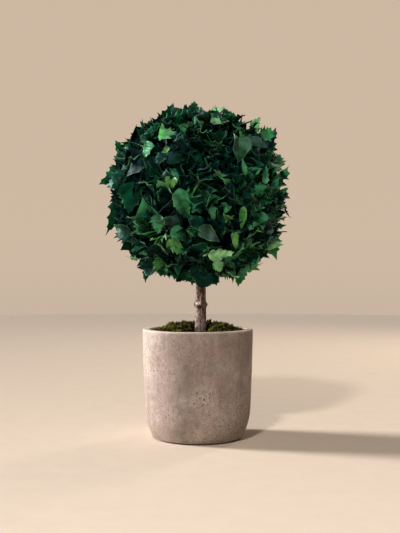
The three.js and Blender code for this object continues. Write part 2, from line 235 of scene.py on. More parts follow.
# Painted shade that darkens leaves, with a cool tint, towards the ball's middle, and painted light that
# brightens their outermost parts: distance from the middle as a share of LOOK_SPAN_M, and factors
SHADE_AND_LIGHT_BY_DEPTH = [
    (0.5, (0.24, 0.74, 0.9, 1.0)),
    (0.57, (0.5, 0.82, 0.86, 1.0)),
    (0.63, (0.96, 1.0, 0.98, 1.0)),
    (0.7, (1.7, 1.65, 1.5, 1.0)),
]
# Soft patches that are greener or duller: noise and factors
TINTS = [
    (0.36, (0.7, 1.06, 0.68, 1.0)),
    (0.46, (1.0, 1.0, 1.0, 1.0)),
    (0.62, (1.1, 0.95, 1.12, 1.0)),
]
LEAF_SHEEN = (0.5, 0.95, 1.0, 1.0)

# Studio, with colours of the backdrop where it meets the floor, just above that and higher up
FLOOR_RADIUS_M = 3.4
SWEEP_M = 1.0
BACKDROP_HEIGHT_M = 3.6
STAGE_SIDES = 96
FLOOR_FAR = (205, 187, 168)
WALL_LOW = (211, 191, 171)
WALL_HIGH = (209, 189, 169)
LIGHT_AIM_M = (0.0, 0.0, 0.28)
WORLD_COLOUR = (1.0, 0.89, 0.78, 1.0)
WORLD_STRENGTH = 0.11
CAMERA_PLACE_M = (0.0034, -1.31, 0.255)
CAMERA_LENS = 59
CAMERA_SENSOR = 36
PICTURE_GAMMA = 0.9


def paint(red, green, blue):
    """A linear colour from sRGB values of 0 to 255."""
    return tuple(
        (v / 255 / 12.92) if v <= 10 else ((v / 255 + 0.055) / 1.055) ** 2.4 for v in (red, green, blue)
    ) + (1.0,)


def unit(v):
    return v / np.linalg.norm(v)


def smooth_step(low, high, value):
    share = min(max((value - low) / (high - low), 0.0), 1.0)
    return share * share * (3 - 2 * share)


def noise_at(x, y, z):
    return noise.noise(Vector((x, y, z)))


def angle_between(a, b):
    return abs(atan2(sin(a - b), cos(a - b)))


# Materials


class Look:
    """A Principled material with short calls for its nodes. Scales of patterns are counts to the metre."""

    def __init__(self, name, rgb, roughness, specular):
        colour = paint(*rgb)
        self.material = bpy.data.materials.new(name)
        self.material.use_nodes = True
        self.material.diffuse_color = colour
        self.tree = self.material.node_tree
        self.surface = self.tree.nodes["Principled BSDF"]
        self.show({"Base Color": colour, "Roughness": roughness, "Specular IOR Level": specular})
        self.place = self.add("TexCoord", {}).outputs["Object"]
        self.bump = {}

    def feed(self, node, inputs):
        """Link outputs to a node's inputs, or set the inputs to plain values."""
        for name, value in inputs.items():
            if isinstance(value, bpy.types.NodeSocket):
                self.tree.links.new(value, node.inputs[name])
            else:
                node.inputs[name].default_value = value

    def show(self, inputs):
        self.feed(self.surface, inputs)

    def add(self, kind, inputs, **settings):
        node = self.tree.nodes.new("ShaderNode" + kind)
        for name, value in settings.items():
            setattr(node, name, value)
        self.feed(node, inputs)
        return node

    def clouds(self, scale, detail, rough=0.55, distortion=0.0, stretch=(1.0, 1.0, 1.0)):
        where = self.add("Mapping", {"Scale": stretch, "Vector": self.place}).outputs["Vector"]
        inputs = {"Scale": scale, "Detail": detail, "Roughness": rough, "Distortion": distortion}
        return self.add("TexNoise", inputs | {"Vector": where}).outputs["Fac"]

    def cells(self, scale):
        """Distance to the nearest of many scattered points."""
        return self.add("TexVoronoi", {"Scale": scale, "Vector": self.place}).outputs["Distance"]

    def ramp(self, value, stops):
        node = self.add("ValToRGB", {"Fac": value})
        elements = node.color_ramp.elements
        while len(elements) < len(stops):
            elements.new(0.5)
        for element, (at, colour) in zip(elements, stops):
            element.position = at
            element.color = colour
        return node.outputs["Color"]

    def tones(self, value, stops):
        """A ramp of sRGB colours of 0 to 255."""
        return self.ramp(value, [(at, paint(*rgb)) for at, rgb in stops])

    def level(self, value, stops):
        """A ramp of greys, for masks and roughness."""
        return self.ramp(value, [(at, (v, v, v, 1.0)) for at, v in stops])

    def patches(self, scale, low, high):
        """A mask that is 1 in some patches and 0 elsewhere."""
        return self.level(self.clouds(scale, 3, 0.6), [(low, 0.0), (high, 1.0)])

    def mix(self, a, b, share, kind="MIX"):
        return self.add("Mix", {0: share, 6: a, 7: b}, data_type="RGBA", blend_type=kind).outputs[2]

    def tinted(self, base, rgb, value, stops):
        """A colour that leans towards another one by a ramp of shares."""
        return self.mix(base, paint(*rgb), self.level(value, stops))

    def shaded(self, base, value, stops, share):
        """A colour made darker and lighter by a ramp of factors."""
        return self.mix(base, self.level(value, stops), share, "MULTIPLY")

    def maths(self, a, b, kind):
        return self.add("Math", {0: a, 1: b}, operation=kind).outputs[0]

    def height(self, span_m):
        """Height above the ground as a share of a span."""
        height_m = self.add("SeparateXYZ", {0: self.place}).outputs["Z"]
        return self.maths(height_m, 1 / span_m, "MULTIPLY")

    def distance(self, centre_m, span_m):
        """Distance from a place as a share of a span."""
        node = self.add("VectorMath", {0: self.place, 1: centre_m}, operation="DISTANCE")
        return self.maths(node.outputs["Value"], 1 / span_m, "MULTIPLY")

    def relief(self, value, strength, depth_m):
        """Relief on top of what the surface already has."""
        inputs = {"Height": value, "Strength": strength, "Distance": depth_m}
        self.bump = {"Normal": self.add("Bump", inputs | self.bump).outputs["Normal"]}
        self.show(self.bump)


def leaf_look(name, rgb, roughness, specular=0.12):
    """A waxy leaf: one colour in darker and lighter soft patches, with a leathery grain and uneven gloss,
    painted shade towards the ball's middle and painted light on its outermost parts.
    """
    look = Look(name, rgb, roughness, specular)
    dark = [v * 0.66 for v in rgb]
    light = [min(255, v * 1.25) for v in rgb]
    base = look.tones(look.clouds(70, 3), [(0.34, dark), (0.66, light)])
    base = look.mix(base, look.ramp(look.clouds(42, 2), TINTS), 1.0, "MULTIPLY")
    depth = look.distance(BALL * MM, LOOK_SPAN_M)
    # Painted shade deep in the ball and painted light on the outermost parts of each leaf
    base = look.mix(base, look.ramp(depth, SHADE_AND_LIGHT_BY_DEPTH), 1.0, "MULTIPLY")
    gloss = look.level(look.clouds(160, 3), [(0.34, roughness - 0.14), (0.66, roughness + 0.1)])
    look.show({"Base Color": base, "Roughness": gloss, "Specular Tint": LEAF_SHEEN})
    look.relief(look.clouds(260, 3, 0.5), 0.5, 0.0012)
    look.relief(look.clouds(1100, 3, 0.6), 0.35, 0.0004)
    return look.material


def by_height(stops):
    """Stops of a ramp over LOOK_SPAN_M from heights in millimetres."""
    return [(z * MM / LOOK_SPAN_M, value) for z, value in stops]


def concrete_look(name, inside=False):
    """Cast concrete: warm grey with rosy patches, hairlines, pinholes painted dark as the shade in them, a
    paler lip that is painted highlight, and inside, painted shade that darkens the wall below the lip.
    """
    look = Look(name, (166, 151, 141), 0.88, 0.3)
    broad = look.clouds(24, 7, 0.66, distortion=0.5)
    greys = [(0.3, (146, 134, 125)), (0.44, (160, 148, 139)), (0.56, (170, 157, 149)), (0.7, (184, 171, 163))]
    base = look.tones(broad, greys)
    base = look.tinted(base, (177, 153, 147), look.clouds(30, 5, 0.6), [(0.44, 0.0), (0.6, 0.42)])
    mossy = look.clouds(19, 5, 0.6, stretch=(1.0, 1.3, 1.7))
    base = look.tinted(base, (154, 143, 130), mossy, [(0.52, 0.0), (0.66, 0.3)])
    drawn = look.clouds(160, 5, 0.6, stretch=(1.0, 1.0, 0.22))
    base = look.shaded(base, drawn, [(0.34, 0.78), (0.52, 1.0), (0.68, 1.12)], 0.5)
    blots = look.clouds(120, 6, 0.7, distortion=1.2)
    base = look.shaded(base, blots, [(0.32, 0.66), (0.5, 1.0), (0.66, 1.18)], 0.7)
    grain = look.clouds(620, 4, 0.7)
    base = look.shaded(base, grain, [(0.3, 0.72), (0.55, 1.0), (0.75, 1.16)], 0.8)
    for scale, band, tint, share in ((64, 0.05, (218, 204, 192), 0.75), (90, 0.04, (112, 98, 89), 0.6)):
        hairs = look.clouds(scale, 7, 0.8, distortion=3.0)
        strands = look.level(hairs, [(0.5 - band, 0.0), (0.5, share), (0.5 + band, 0.0)])
        where = look.patches(scale / 6, 0.44, 0.58)
        base = look.mix(base, paint(*tint), look.maths(strands, where, "MULTIPLY"))
    # Pinholes painted dark as the shade inside them, and dented by the relief below
    holes = look.level(look.cells(210), [(0.1, 1.0), (0.26, 0.0)])
    pits = look.maths(holes, look.patches(24, 0.52, 0.62), "MULTIPLY")
    base = look.mix(base, paint(70, 56, 48), pits)
    height = look.height(LOOK_SPAN_M)
    # Painted highlight: the lip is paler towards the top
    painted_highlight = by_height([(POT_HEIGHT - 3, 0.0), (POT_HEIGHT - 0.4, 0.55)])
    base = look.tinted(base, (214, 200, 187), height, painted_highlight)
    if inside:
        # Painted shade: the inside wall gets darker below the lip
        inner_shade = by_height([(FILL_TOP + 2, 0.4), (POT_HEIGHT - 5, 0.5), (POT_HEIGHT - 2, 1.0)])
        base = look.shaded(base, height, inner_shade, 1.0)
    look.show({"Base Color": base, "Roughness": look.level(grain, [(0.3, 0.95), (0.7, 0.78)])})
    look.relief(look.maths(grain, pits, "SUBTRACT"), 0.5, 0.0008)
    look.relief(blots, 0.4, 0.0012)
    return look.material


def bark_look(name, light):
    """Grey-brown bark with dark stains, rosy bald patches and a little green-grey lichen."""
    look = Look(name, (120 * light, 98 * light, 88 * light), 0.85, 0.3)
    long_grain = look.clouds(300, 5, 0.65, stretch=(1.0, 1.0, 0.28), distortion=0.6)
    browns = [(0.32, (92, 77, 71)), (0.45, (134, 117, 108)), (0.56, (168, 150, 140)), (0.7, (198, 181, 169))]
    base = look.tones(long_grain, browns)
    base = look.tinted(base, (168, 122, 124), look.clouds(150, 4, 0.65), [(0.48, 0.0), (0.58, 0.65)])
    lichen = look.clouds(170, 4, 0.6, stretch=(1.2, 1.2, 1.0))
    base = look.tinted(base, (128, 130, 106), lichen, [(0.56, 0.0), (0.64, 0.7)])
    stains = look.clouds(300, 5, 0.7, stretch=(1.0, 1.0, 0.6))
    base = look.shaded(base, stains, [(0.4, 0.35), (0.5, 1.0), (0.62, 1.15)], 0.9)
    look.show({"Base Color": look.mix(base, (light, light, light, 1.0), 1.0, "MULTIPLY")})
    look.relief(look.maths(long_grain, stains, "ADD"), 0.6, 0.001)
    return look.material


def cut_wood_look():
    look = Look("cut_wood", (206, 192, 176), 0.7, 0.3)
    streaks = look.clouds(500, 4, 0.6, stretch=(1.0, 1.0, 0.2))
    look.show({"Base Color": look.tones(streaks, [(0.3, (168, 148, 132)), (0.6, (214, 201, 188))])})
    look.relief(streaks, 0.4, 0.0006)
    return look.material


def moss_look(name, dark, mid, light):
    look = Look(name, mid, 0.95, 0.2)
    base = look.tones(look.clouds(120, 4, 0.65), [(0.32, dark), (0.5, mid), (0.7, light)])
    fine = look.clouds(900, 4, 0.7)
    look.show({"Base Color": look.shaded(base, fine, [(0.3, 0.55), (0.7, 1.25)], 0.8)})
    look.relief(fine, 0.9, 0.0015)
    return look.material


def soil_look():
    look = Look("planting_mix", (62, 47, 36), 0.95, 0.2)
    crumbs = look.clouds(260, 6, 0.7)
    look.show({"Base Color": look.tones(crumbs, [(0.3, (34, 25, 19)), (0.7, (92, 72, 55))])})
    look.relief(crumbs, 0.9, 0.003)
    return look.material


# Meshes


def new_object(name, data):
    thing = bpy.data.objects.new(name, data)
    scene.collection.objects.link(thing)
    return thing


def make_mesh(name, points, faces, materials):
    """A smooth mesh object from points in metres."""
    mesh = bpy.data.meshes.new(name)
    mesh.from_pydata(points, [], faces)
    for material in materials:
        mesh.materials.append(material)
    mesh.polygons.foreach_set("use_smooth", np.ones(len(mesh.polygons), bool))
    return new_object(name, mesh)


def make_piece(name, points, faces, materials, looks, node=None, sharp_degrees=None):
    """A piece of the one body from points in millimetres. Looks number the material of each face."""
    piece = make_mesh(name, (np.asarray(points, float) * MM).tolist(), faces, materials)
    if looks is not None:
        piece.data.polygons.foreach_set("material_index", np.asarray(looks, np.int32))
    if sharp_degrees:
        piece.data.set_sharp_from_angle(angle=radians(sharp_degrees))
    piece.data.update()
    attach(piece, "root")
    if node:
        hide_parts(node)


def ring_angles(sides):
    return [2 * pi * i / sides for i in range(sides)]


def ring_points(radius, z, sides):
    return [(radius * cos(a), radius * sin(a), z) for a in ring_angles(sides)]


def ring_faces(rings, sides, start=0, spreading=False):
    """Faces between neighbouring rings of points. Rising rings face outward, and spreading rings face up."""
    faces = []
    for j in range(rings - 1):
        for i in range(sides):
            a = start + j * sides + i
            b = start + j * sides + (i + 1) % sides
            faces.append((a, a + sides, b + sides, b) if spreading else (a, b, b + sides, a + sides))
    return faces


def cap_faces(rings, sides):
    """Triangles that close the first and the last ring, to two middle points that follow the rings."""
    low = rings * sides
    last = low - sides
    faces = []
    for i in range(sides):
        after = (i + 1) % sides
        faces.append((low, after, i))
        faces.append((low + 1, last + i, last + after))
    return faces


# Pot


def pot_radius(z):
    if z >= POT_CORNER_HEIGHT:
        below = (POT_HEIGHT - z) / (POT_HEIGHT - POT_CORNER_HEIGHT)
        return POT_RIM_RADIUS - (POT_RIM_RADIUS - POT_WAIST_RADIUS) * below**POT_TAPER_POWER
    down = (POT_CORNER_HEIGHT - z) / POT_CORNER_HEIGHT
    turn = (1 - down**POT_CORNER_POWER) ** (1 / POT_CORNER_POWER)
    return POT_BASE_RADIUS + (POT_WAIST_RADIUS - POT_BASE_RADIUS) * turn


def pot_hollow_radius(z):
    return pot_radius(max(z - POT_HOLLOW_RISE, 0)) - POT_WALL


def lip_turn(centre, start_degrees, end_degrees):
    """Rings round a quarter turn of the lip, whose rounding is centred this far out."""
    top = POT_HEIGHT - POT_LIP_ROUND
    rows = []
    for degrees in np.linspace(start_degrees, end_degrees, POT_LIP_RINGS):
        a = radians(degrees)
        radius = centre + POT_LIP_ROUND * cos(a)
        rows.append((radius, top + POT_LIP_ROUND * sin(a), POT_INNER_SHARE))
    return rows


def pot_profile():
    """[radius, height, unevenness] of rings from the foot up the outside, over the lip and down inside."""
    foot = POT_BASE_RADIUS - POT_FOOT_INSET
    rows = [
        (foot, 0.0, 0.0),
        (foot, POT_FOOT_HEIGHT - POT_FOOT_ROUND, 0.0),
        (POT_BASE_RADIUS - POT_FOOT_EDGE, POT_FOOT_HEIGHT, 0.0),
    ]
    for i in range(POT_CORNER_RINGS):
        rise = 1 - cos(pi / 2 * i / POT_CORNER_RINGS)
        z = POT_FOOT_HEIGHT + POT_FOOT_STEP + (POT_CORNER_HEIGHT - POT_FOOT_HEIGHT) * rise
        rows.append((pot_radius(z), z, min(1.0, i / 3)))
    top = POT_HEIGHT - POT_LIP_ROUND
    rows += [(pot_radius(z), z, 1.0) for z in np.linspace(POT_CORNER_HEIGHT, top - 1.0, POT_WALL_RINGS)]
    outer = POT_RIM_RADIUS - POT_LIP_ROUND
    inner = POT_RIM_RADIUS - POT_WALL + POT_LIP_ROUND
    rows += lip_turn(outer, 0, 90)
    rows += [(r, POT_HEIGHT, POT_INNER_SHARE) for r in np.linspace(outer, inner, POT_LIP_FLAT_RINGS)[1:-1]]
    rows += lip_turn(inner, 90, 180)
    for z in np.linspace(top - 2, FILL_TOP - 2, POT_INNER_RINGS):
        rows.append((pot_hollow_radius(z), z, POT_INNER_SHARE))
    return rows + [(pot_hollow_radius(z), z, 0.0) for z in POT_HIDDEN_HEIGHTS]


def pot_unevenness(x, y, z):
    """Soft waviness of a hand-finished casting, and the shallow dents of air bubbles."""
    wave = 0.16 * noise.noise(Vector((x, y, z)) * 0.045)
    grit = 0.07 * noise.noise(Vector((x, y, z)) * 0.33)
    spot = noise.noise(Vector((x + 40, y, z)) * 0.42)
    patch = smooth_step(0.05, 0.3, noise.noise(Vector((x, y + 90, z)) * 0.04))
    dent = -0.75 * smooth_step(0.42, 0.62, spot) * patch
    return wave + grit + dent


def make_pot():
    rows = pot_profile()
    points = []
    for radius, z, share in rows:
        for x, y, _ in ring_points(radius, z, POT_SIDES):
            grow = 1 + share * pot_unevenness(x, y, z) / radius
            points.append((x * grow, y * grow, z))
    points += [(0, 0, 0), (0, 0, POT_FLOOR)]
    looks = []
    for radius, z, _ in rows[1:]:
        inside = z > POT_FLOOR - 1 and radius < pot_radius(z) - POT_WALL / 2
        looks += [int(inside)] * POT_SIDES
    looks += [0, 1] * POT_SIDES
    faces = ring_faces(len(rows), POT_SIDES) + cap_faces(len(rows), POT_SIDES)
    # The second concrete has painted shade on the inside wall
    casting = [concrete_look("cast_concrete"), concrete_look("inner_shade_concrete", inside=True)]
    make_piece("pot_casting", points, faces, casting, looks, "pot", 50)


# Stem


def stem_centre(z):
    share = (z - STEM_BOTTOM) / (STEM_TOP - STEM_BOTTOM)
    bow = STEM_BOW * sin(share * pi * 2)
    return STEM_BASE_X + STEM_LEAN * share + bow, bow * 0.6


def near_mark(mark, z, angle):
    """How much of a mark shows here, from 1 in its middle to 0 far from it."""
    height, degrees, half, spread = mark[:4]
    around = angle_between(angle, radians(degrees)) / spread
    along = (z - height) / half
    return exp(-(around**2 + along**2))


def stem_radius(z, angle):
    share = (z - STEM_BOTTOM) / (STEM_TOP - STEM_BOTTOM)
    plain = STEM_BASE_RADIUS + (STEM_TOP_RADIUS - STEM_BASE_RADIUS) * share
    flare = STEM_FLARE * exp(-(z - STEM_BOTTOM) / STEM_FLARE_HEIGHT)
    knots = sum(mark[4] * near_mark(mark, z, angle) for mark in KNOTS)
    return plain + flare + knots - SCAR[4] * near_mark(SCAR, z, angle)


def bark_relief(z, angle):
    """Long plates and cracks, with fine grain and faint rings."""
    x, y = cos(angle), sin(angle)
    plates = noise_at(x * 2.3, y * 2.3, z * 0.045)
    cracks = abs(noise_at(x * 3.6 + 9, y * 3.6, z * 0.07))
    fine = noise_at(x * 9, y * 9, z * 0.35)
    rings = noise_at(x * 1.2, y * 1.2, z * 0.5 + 31)
    return 0.55 * plates - 0.75 * (1 - smooth_step(0.0, 0.16, cracks)) + 0.22 * fine + 0.2 * rings


def bare_wood_here(z, angle):
    """The slanting wedge of bare wood left where a side shoot was cut off."""
    along = (z - WOOD_BOTTOM) / WOOD_HEIGHT
    if not 0 <= along <= 1:
        return False
    middle = radians(WOOD_DEGREES + WOOD_SLANT_DEGREES * along)
    half = 0.5 * (1 - along) ** 1.4 + 0.09
    return angle_between(angle, middle) < half


def stem_look_here(z, angle):
    """0 for bark, 1 for cut wood and 2 for bark darkened by stain and painted shade."""
    if bare_wood_here(z, angle):
        return 1
    stain_and_shade = max(near_mark(mark, z, angle) for mark in STAINS_AND_SHADE)
    stain_and_shade += 0.35 * noise_at(cos(angle) * 5, sin(angle) * 5, z * 0.3)
    return 2 if stain_and_shade > 0.5 else 0


def make_stem():
    ring_height = (STEM_TOP - STEM_BOTTOM) / STEM_RINGS
    points, looks = [], []
    for j in range(STEM_RINGS + 1):
        z = STEM_BOTTOM + ring_height * j
        cx, cy = stem_centre(z)
        for a in ring_angles(STEM_SIDES):
            radius = stem_radius(z, a)
            radius += -WOOD_SINK if bare_wood_here(z, a) else bark_relief(z, a)
            points.append((cx + radius * cos(a), cy + radius * sin(a), z))
    for j in range(STEM_RINGS):
        for a in ring_angles(STEM_SIDES):
            looks.append(stem_look_here(STEM_BOTTOM + ring_height * (j + 0.5), a + pi / STEM_SIDES))
    faces = ring_faces(STEM_RINGS + 1, STEM_SIDES)
    faces.append(tuple(reversed(range(STEM_SIDES))))
    faces.append(tuple(STEM_RINGS * STEM_SIDES + i for i in range(STEM_SIDES)))
    looks += [0, 0]
    # The third bark is darkened: stain, and painted shade under the knots and the scar
    materials = [bark_look("bark", 1.0), cut_wood_look(), bark_look("stained_shaded_bark", 0.4)]
    make_piece("stem_bark", points, faces, materials, looks, "trunk", 60)


# Moss


def moss_top(x, y):
    """The CAD mound with a flatter crown, and the lumps of real cushion moss on it."""
    out = min(hypot(x, y) / MOSS_RADIUS, 1.0)
    mound = MOSS_CROWN_TOP + (MOSS_EDGE_TOP - MOSS_CROWN_TOP) * out**MOSS_CROWN_POWER
    aside = (x - STEM_BASE_X) / MOSS_DIP_WIDTH
    mound -= MOSS_DIP * exp(-(aside**4)) * (1 - smooth_step(*MOSS_DIP_FADE, y)) * (1 - out**2)
    mound -= MOSS_LOW_LEFT * smooth_step(*MOSS_LOW_FROM, -x)
    lumps = noise_at(x * 0.085, y * 0.085, 3.1)
    puffs = 0.35 - abs(noise_at(x * 0.13, y * 0.13, 7.7))
    small = 0.3 - abs(noise_at(x * 0.27, y * 0.27, 4.2))
    fine = noise_at(x * 0.6, y * 0.6, 1.3)
    return mound + (6 * lumps + 7 * puffs) * (1 - 0.3 * out) + 3.5 * small + 1.2 * fine


def make_moss_mound():
    points = [(0, 0, moss_top(0, 0))]
    for j in range(1, MOSS_RINGS):
        ring = ring_points(MOSS_RADIUS * j / MOSS_RINGS, 0, MOSS_SIDES)
        points += [(x, y, moss_top(x, y)) for x, y, _ in ring]
    points += ring_points(MOSS_TUCK_RADIUS, MOSS_TUCK_HEIGHT, MOSS_SIDES)
    faces = [(0, 1 + i, 1 + (i + 1) % MOSS_SIDES) for i in range(MOSS_SIDES)]
    faces += ring_faces(MOSS_RINGS, MOSS_SIDES, start=1, spreading=True)
    # Near-black mound colours: painted shade in the gaps between tufts and under the ball
    look = moss_look("moss", (1, 1, 1), (5, 5, 2), (36, 34, 11))
    make_piece("moss_mound", points, faces, [look], None, "moss")


def add_tuft(points, faces, foot, tall, rng):
    """Three pointed blades that lean away from a foot, none of them past the moss's edge."""
    x, y, z = foot
    radius = hypot(x, y)
    for blade in range(3):
        turn = 2 * pi * (blade / 3 + rng.random() * 0.3)
        lean = tall * (0.3 + 0.6 * rng.random())
        wide = 0.4 + 0.35 * rng.random()
        along, across = cos(turn), sin(turn)
        if x * along + y * across > 0:
            lean = min(radius + lean, MOSS_RADIUS) - radius
        faces += [tuple(len(points) + i for i in face) for face in BLADE_FACES]
        points.append((x + across * wide, y - along * wide, z))
        points.append((x - across * wide, y + along * wide, z))
        points.append((x + 0.35 * along, y + 0.35 * across, z - 0.3))
        points.append((x + lean * along, y + lean * across, z + tall))


def make_moss_tufts():
    rng = np.random.default_rng(MOSS_SEED)
    cx, cy = stem_centre(STEM_AT_MOSS)
    bare, green, bright = TUFT_CLUMPS
    points, faces, looks = [], [], []
    for _ in range(MOSS_TUFTS):
        radius = MOSS_TUCK_RADIUS * sqrt(rng.random())
        a = 2 * pi * rng.random()
        x, y = radius * cos(a), radius * sin(a)
        clump = noise_at(x * 0.22, y * 0.22, 11.5) + rng.uniform(-0.12, 0.12)
        if hypot(x - cx, y - cy) < STEM_BASE_RADIUS + TUFT_STEM_GAP or clump < bare:
            continue
        tall = (1.0 + 1.8 * rng.random()) * (1 + 1.6 * max(clump, 0))
        before = len(faces)
        add_tuft(points, faces, (x, y, moss_top(x, y) - 0.5), tall, rng)
        looks += [0 if clump < green else 1 if clump < bright else 2] * (len(faces) - before)
    tips = [
        moss_look("moss_dark", (4, 5, 2), (20, 21, 6), (54, 54, 18)),
        moss_look("moss_green", (28, 32, 8), (78, 80, 21), (124, 120, 44)),
        moss_look("moss_bright", (58, 60, 16), (116, 114, 36), (158, 150, 66)),
    ]
    make_piece("moss_tufts", points, faces, tips, looks)


# Shapes of leaves


def ovate_width(t):
    """Half width at share t of the length: widest near a third, with a drawn-out tip."""
    return sin(pi * min(max(t, 0.0), 1.0) ** 0.6) ** 0.9 * (1.08 - 0.27 * t)


def margin_points(kind, count, rng):
    """[share along the leaf, half width, wave] down one side, hollowed between spines."""
    spines, first, last, depth, _ = KINDS[kind]
    peaks = np.linspace(first, last, spines) + rng.uniform(-0.045, 0.045, spines)
    stops = [0.0] + list(peaks) + [1.0]
    spare = count - spines
    sway, start_at = rng.uniform(0.02, 0.07), rng.uniform(*PHASES)
    points = []
    for k, (start, end) in enumerate(zip(stops, stops[1:])):
        between = spare // (spines + 1) + (k >= spines + 1 - spare % (spines + 1))
        hollowed = depth * rng.uniform(0.6, 1.3) * (k > 0)
        for j in range(1, between + 1):
            u = j / (between + 1)
            t = start + (end - start) * u
            arc = sin(pi * u) ** 0.7
            wavy = 1 + sway * sin(start_at + 15 * t)
            points.append((t, ovate_width(t) * (1 - hollowed * arc) * wavy, -0.5 * arc))
        if k < spines:
            keen = depth * rng.uniform(0.5, 1.3)
            width = ovate_width(end) * (1 + 0.45 * keen) + 0.16 * keen
            points.append((end + 0.02 + 0.1 * keen, width, 1.0 if k % 2 else 0.2))
    return points


class LeafShape:
    """A flat leaf of length 1 and half width 1 as a grid, with the faces of its top, underside and edge.

    Looks are 0 on top, 1 on the underside, 2 on the pale margin and 3 on the edge, whose paleness is painted
    rim highlight. Plain looks have 0 and 1.
    """

    def __init__(self, kind, points, columns, rng):
        n = len(columns)
        foot = (0.0, 0.06, 0.0)
        sides = [[foot] + margin_points(kind, points, rng) for _ in range(2)]
        rows = len(sides[0])
        grid = []
        for i in range(rows):
            middle = 0.97 * i / rows
            for c in columns:
                at, width, wave = sides[c > 0][i]
                share = abs(c)
                grid.append((middle + (at - middle) * share**1.3, width * c, wave * share**1.6))
        grid.append((1.02, 0.0, 0.0))
        self.x, self.y, self.wave = np.array(grid).T
        count = len(grid)
        tip = count - 1
        last = tip - n
        top = [(a, a + n, a + n + 1, a + 1) for a in range(last) if a % n < n - 1]
        top += [(a, tip, a + 1) for a in range(last, tip - 1)]
        under = [tuple(i + count for i in reversed(f)) for f in top]
        loop = [*range(0, tip, n), tip, *range(tip - 1, 0, -n), *range(n - 2, 0, -1)]
        edge = [(b, a, a + count, b + count) for a, b in zip(loop, loop[1:] + loop[:1])]
        self.faces = top + under + edge
        # Strips of the margin that get the pale painted rim highlight
        starts = {0: rng.integers(0, rows // 2), n - 2: rng.integers(0, rows // 2)}
        strips = []
        for r in range(rows - 1):
            for c in range(n - 1):
                painted_highlight = c in starts and starts[c] <= r <= starts[c] + rows // 2
                strips.append(2 if painted_highlight else 0)
        self.looks = strips + [0] * (n - 1) + [1] * len(under) + [3] * len(edge)
        self.plain_looks = [0] * len(top) + [1] * (len(under) + len(edge))


def make_shapes(points, columns, rng):
    return {kind: [LeafShape(kind, points, columns, rng) for _ in range(SHAPES_PER_KIND)] for kind in KINDS}


def leaf_points(shape, leaf):
    """The corners of a leaf's top and underside, folded, ruffled, twisted and bent along its length."""
    length, half = leaf["length"], leaf["width"] / 2
    x = shape.x * length
    y = shape.y * half
    share = np.abs(shape.y)
    swing = np.sin(leaf["phase"] + np.sign(y) * 0.9 + shape.x * leaf["waves"])
    crease = np.sin(leaf["phase"] * 3 + shape.x * 8.5) * np.cos(leaf["phase"] * 5 + shape.y * 3.4)
    lift = leaf["cup"] * share**2 + leaf["ruffle"] * (share**2 * swing + 0.45 * shape.wave)
    lift += leaf["fold"] * share + leaf["rim"] * np.clip(share - RIM_FROM, 0, 1) + CREASE * crease
    turn = leaf["twist"] * x / length
    bend = leaf["bend"] if abs(leaf["bend"]) > LEAST_BEND else LEAST_BEND
    angle = bend * np.clip(x / length, 0, None)
    reach = length / bend
    sheets = []
    for sink in (0.0, LEAF_THICK):
        z = lift * half - sink
        across = y * np.cos(turn) - z * np.sin(turn)
        rise = y * np.sin(turn) + z * np.cos(turn)
        along = np.where(x > 0, (reach + rise) * np.sin(angle), x)
        drop = np.where(x > 0, (reach + rise) * np.cos(angle) - reach, rise)
        sheets.append(np.stack([along, across, drop], axis=1))
    axes = np.stack([leaf["towards"], np.cross(leaf["face"], leaf["towards"]), leaf["face"]])
    return leaf["foot"] + np.concatenate(sheets) @ axes


# The rule by which leaves grow


def sprig_direction(k, n):
    """The way out to sprig k of n, spread evenly over the ball by the golden angle."""
    z = 1 - 2 * (k + 0.5) / n
    turn = k * GOLDEN_ANGLE
    flat = sqrt(1 - z * z)
    return np.array([flat * cos(turn), flat * sin(turn), z])


def ball_axes(out):
    """Two directions along the ball's face, the first one level."""
    side = unit(np.array([-out[1], out[0], 0.0]))
    return side, np.cross(out, side)


def ball_surface(out):
    """How far the clipped face of the ball lies this way: lumpy, with deep crevices."""
    latitude = asin(out[2])
    shoulder = 0.5 * BALL_SHOULDER * sin(2 * latitude) ** 2
    lumps = noise.noise(Vector(out) * 3.6) + 0.6 * noise.noise(Vector(out) * 8 + Vector((5, 0, 0)))
    sunk = smooth_step(0.12, 0.4, noise.noise(Vector(out) * 5.5 + Vector((0, 9, 0))))
    fuller = BALL_SWAY * BALL_SWAY_WAY.dot(out) + shoulder
    return BALL_FACE + fuller + BALL_LUMPS * lumps - BALL_CREVICE * sunk


def leaf_fits(points):
    """Whether a leaf keeps within the ball's reach, off the stem and above the lowest leaves."""
    away = points - BALL
    far = np.linalg.norm(away, axis=1)
    latitude = np.arcsin(np.clip(away[:, 2] / far, -1, 1))
    if (far > BALL_REACH + BALL_SHOULDER * np.sin(2 * latitude) ** 2).any():
        return False
    low = points[points[:, 2] < STEM_TOP + 4]
    if not len(low):
        return True
    off_stem = np.hypot(low[:, 0] - STEM_BASE_X - STEM_LEAN * 0.6, low[:, 1])
    return off_stem.min() >= STEM_BASE_RADIUS + STEM_KEEP_OFF and low[:, 2].min() > LOWEST_LEAF


def made_leaf(habit, way, foot, towards, front, roll, length, width, rng):
    """A leaf that forks off the core this way. It faces the front as far as it can and then rolls over."""
    face = unit(front - towards * front.dot(towards))
    folds = {part: rng.uniform(*span) for part, span in zip(HABIT_PARTS, HABITS[habit])}
    return {
        "way": way,
        "fork": BALL + way * (CORE_RADIUS - FORK_DEPTH),
        "foot": foot,
        "towards": towards,
        "face": unit(face * cos(roll) + np.cross(towards, face) * sin(roll)),
        "length": length,
        "width": width,
        "bend": 0.0,
    } | folds | {"twist": rng.normal(0, TWISTS[habit])}


